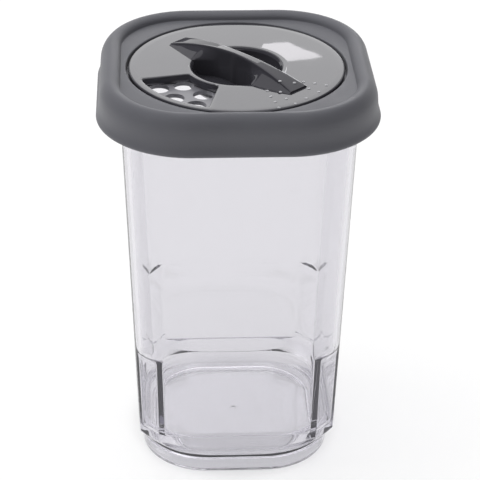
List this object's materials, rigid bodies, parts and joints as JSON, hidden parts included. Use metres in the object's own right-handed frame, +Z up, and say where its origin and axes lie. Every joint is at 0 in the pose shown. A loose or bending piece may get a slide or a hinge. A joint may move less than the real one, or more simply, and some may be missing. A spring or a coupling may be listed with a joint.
{
  "type": "spice shaker",
  "caption": "Clear square jar with corner facets and a push-on lid, whose dial is turned by a bar grip to bring its window over sieve holes and shake out spices.",
  "frame": {"origin": "on the table under the jar's axis, in the plane of the foot", "axes": "+Z up along the jar's axis and the dial's axis, -Y to the front that the picture shows, +X to the right in the picture"},
  "size_m": [0.0794, 0.0794, 0.1254],
  "materials": {
    "clear_plastic": "clear, polished",
    "soft_grey": "matte, soft to the touch",
    "dark_plate": "half gloss",
    "silicone": "matte",
    "dark_gloss": "high gloss"
  },
  "bodies": {
    "jar": {"jar": "clear_plastic"},
    "lid": {"collar": "soft_grey", "sieve_plate": "dark_plate", "seal_ring": "silicone"},
    "dial": {"dial": "dark_gloss"}
  },
  "joints": [
    {"name": "lid_lift", "type": "slide", "parent": "jar", "child": "lid", "axis": [0, 0, 1], "range_m": [0, 0.04]},
    {"name": "dial_turn", "type": "hinge", "parent": "lid", "child": "dial", "pos_m": [0, 0, 0.1183], "axis": [0, 0, 1], "continuous": true}
  ]
}
